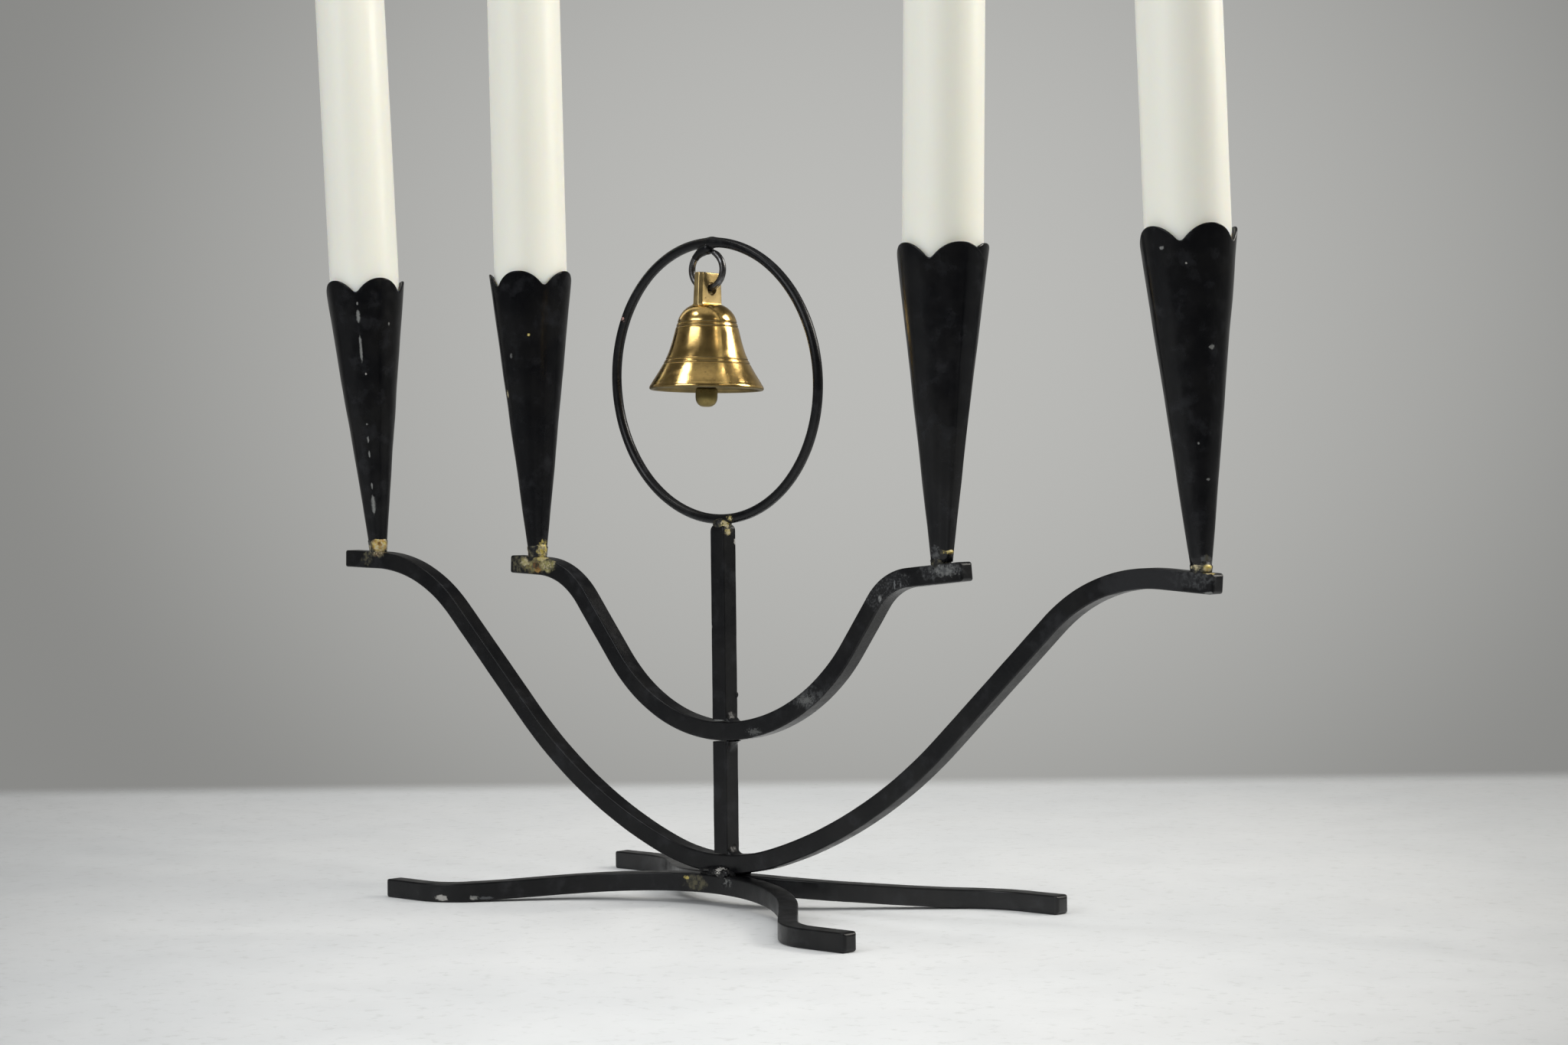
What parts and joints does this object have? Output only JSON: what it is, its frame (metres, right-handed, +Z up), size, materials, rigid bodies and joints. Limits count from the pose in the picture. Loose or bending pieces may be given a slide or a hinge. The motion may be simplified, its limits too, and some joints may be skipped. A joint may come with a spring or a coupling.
{
  "type": "candelabra",
  "caption": "Black square-bar table candelabra on splayed feet, with scalloped cone cups on curved arms and a brass bell hanging in a wire hoop.",
  "frame": {"origin": "on the table, under the middle of the bars, where the lowest points of both arms cross the stem", "axes": "X along the arms to the right, Y away from the front, Z up; the bell hangs in front of the stem"},
  "size_m": [0.35, 0.0943, 0.3603],
  "materials": {
    "black_lacquer": "black lacquer over hammered bar, worn to grey at a few edges, soft gloss",
    "bare_steel": "dark drawn wire, bare and glossy",
    "bell_brass": "turned and polished, dull inside",
    "braze": "rough brass spelter with flux stains under thin lacquer",
    "candle_wax": "smooth off-white stearin wax, slightly translucent",
    "wick_cotton": "plaited cotton"
  },
  "bodies": {
    "frame": {"front_base_bar": "black_lacquer", "back_base_bar": "black_lacquer", "outer_arm": "black_lacquer", "lower_stem": "black_lacquer", "inner_arm": "black_lacquer", "upper_stem": "black_lacquer", "bell_hoop": "black_lacquer", "front_base_weld": "black_lacquer", "back_base_weld": "black_lacquer", "stem_foot_weld": "black_lacquer", "lower_arm_weld": "black_lacquer", "upper_arm_weld": "black_lacquer", "hook_weld": "black_lacquer", "hoop_braze": "braze", "bell_hook": "bare_steel", "candle_cup_outer_left": "black_lacquer", "cup_braze_outer_left": "braze", "candle_cup_inner_left": "black_lacquer", "cup_braze_inner_left": "braze", "candle_cup_inner_right": "black_lacquer", "cup_braze_inner_right": "braze", "candle_cup_outer_right": "black_lacquer", "cup_braze_outer_right": "braze"},
    "bell": {"bell": "bell_brass", "clapper_staple": "bell_brass"},
    "clapper": {"clapper": "bell_brass"},
    "candle_outer_left": {"candle_outer_left": "candle_wax", "wick_outer_left": "wick_cotton"},
    "candle_inner_left": {"candle_inner_left": "candle_wax", "wick_inner_left": "wick_cotton"},
    "candle_inner_right": {"candle_inner_right": "candle_wax", "wick_inner_right": "wick_cotton"},
    "candle_outer_right": {"candle_outer_right": "candle_wax", "wick_outer_right": "wick_cotton"}
  },
  "joints": [
    {"name": "bell_swing", "type": "hinge", "parent": "frame", "child": "bell", "pos_m": [-0.00065, -0.00385, 0.17578], "axis": [1, 0, 0], "range_deg": [-80, 80]},
    {"name": "clapper_swing", "type": "hinge", "parent": "bell", "child": "clapper", "pos_m": [-0.00065, -0.00385, 0.16658], "axis": [1, 0, 0], "range_deg": [-30, 30]},
    {"name": "candle_outer_left_lift_off", "type": "slide", "parent": "frame", "child": "candle_outer_left", "axis": [-0.0593, 0, 0.9982], "range_m": [0, 0.05]},
    {"name": "candle_inner_left_lift_off", "type": "slide", "parent": "frame", "child": "candle_inner_left", "axis": [-0.0192, 0, 0.9998], "range_m": [0, 0.05]},
    {"name": "candle_inner_right_lift_off", "type": "slide", "parent": "frame", "child": "candle_inner_right", "axis": [0.0209, 0, 0.9998], "range_m": [0, 0.05]},
    {"name": "candle_outer_right_lift_off", "type": "slide", "parent": "frame", "child": "candle_outer_right", "axis": [-0.0366, 0, 0.9993], "range_m": [0, 0.05]}
  ]
}
